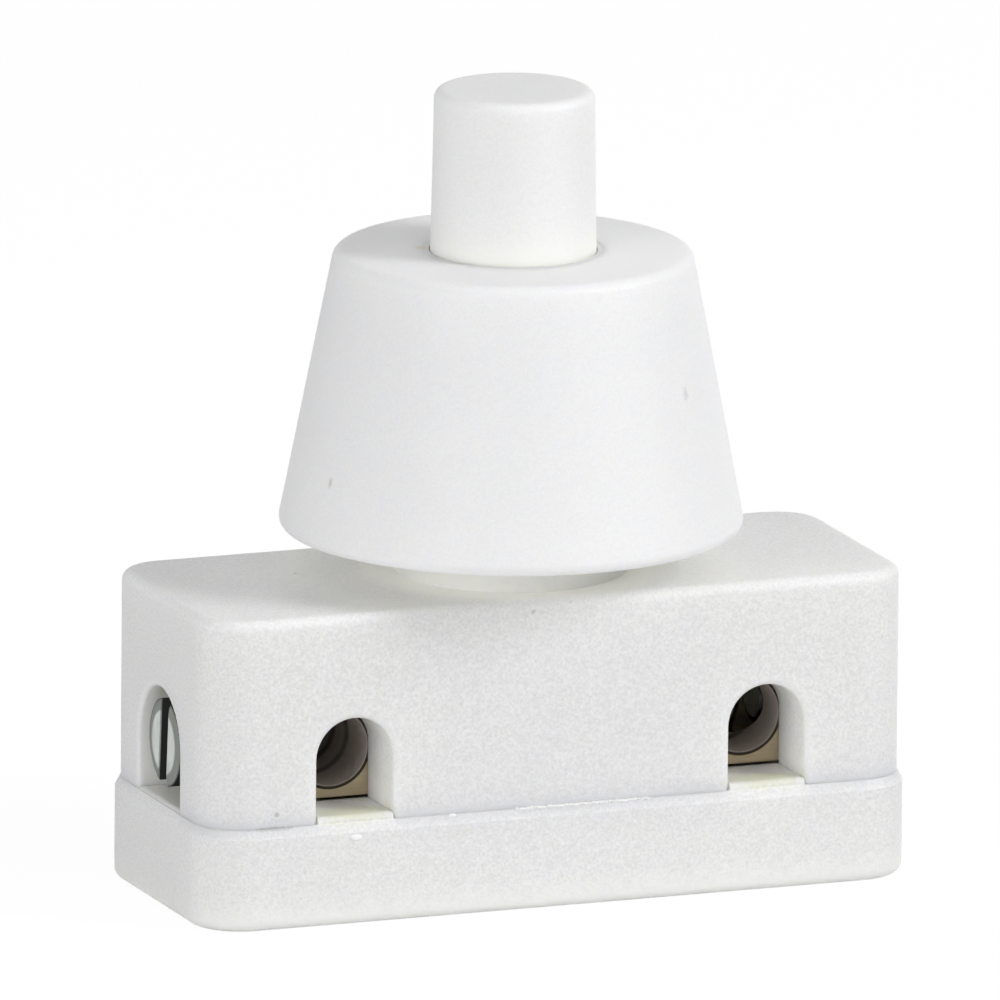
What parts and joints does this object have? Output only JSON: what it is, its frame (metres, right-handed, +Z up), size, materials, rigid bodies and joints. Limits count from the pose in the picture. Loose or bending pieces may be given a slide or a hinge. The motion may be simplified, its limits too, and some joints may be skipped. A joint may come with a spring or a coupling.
{
  "type": "push-button lamp switch",
  "caption": "White built-in lamp push switch: boxy moulded body with arched wire entries and end screws, threaded neck with a conical ring nut, round push button.",
  "frame": {"origin": "middle of the base's underside, on the button's axis", "axes": "+Z up along the button's axis, X along the body from screw to screw, -Y towards the wire entries"},
  "size_m": [0.0324, 0.0198, 0.0344],
  "materials": {
    "body_plastic": "fine satin moulding, warm white",
    "nut_plastic": "fine satin moulding, white",
    "button_plastic": "fine satin moulding, white",
    "rotor_plastic": "natural moulded plastic",
    "terminal_brass": "dull sawn brass",
    "contact_brass": "rolled brass strip",
    "contact_silver": "silver contact rivet",
    "screw_steel": "zinc-plated steel",
    "spring_steel": "drawn spring wire"
  },
  "bodies": {
    "switch_body": {"upper_housing": "body_plastic", "base_cover": "body_plastic", "left_terminal_block": "terminal_brass", "right_terminal_block": "terminal_brass", "left_contact_strip": "contact_brass", "right_contact_strip": "contact_brass", "left_fixed_contact": "contact_silver", "right_fixed_contact": "contact_silver", "return_spring": "spring_steel"},
    "button": {"push_button": "button_plastic"},
    "contact_rotor": {"rotor": "rotor_plastic", "contact_bridge": "contact_brass", "front_bridge_contact": "contact_silver", "rear_bridge_contact": "contact_silver"},
    "ring_nut": {"cone_nut": "nut_plastic"},
    "left_screw": {"left_terminal_screw": "screw_steel"},
    "right_screw": {"right_terminal_screw": "screw_steel"}
  },
  "joints": [
    {"name": "button_press", "type": "slide", "parent": "switch_body", "child": "button", "axis": [0, 0, -1], "range_m": [0, 0.003], "stiffness_N_per_m": 800, "deforming": ["return_spring"]},
    {"name": "rotor_turn", "type": "hinge", "parent": "switch_body", "child": "contact_rotor", "pos_m": [0, 0, 0.0044], "axis": [0, 0, 1], "range_deg": [0, 66]},
    {"name": "nut_travel", "type": "slide", "parent": "switch_body", "child": "ring_nut", "axis": [0, 0, 1], "range_m": [0, 0.022]},
    {"name": "left_clamp", "type": "slide", "parent": "switch_body", "child": "left_screw", "axis": [1, 0, 0], "range_m": [0, 0.0017]},
    {"name": "right_clamp", "type": "slide", "parent": "switch_body", "child": "right_screw", "axis": [-1, 0, 0], "range_m": [0, 0.0017]}
  ],
  "couplings": [
    {"joint": "rotor_turn", "follows": "button_press", "rad_per_m": 383.97}
  ]
}
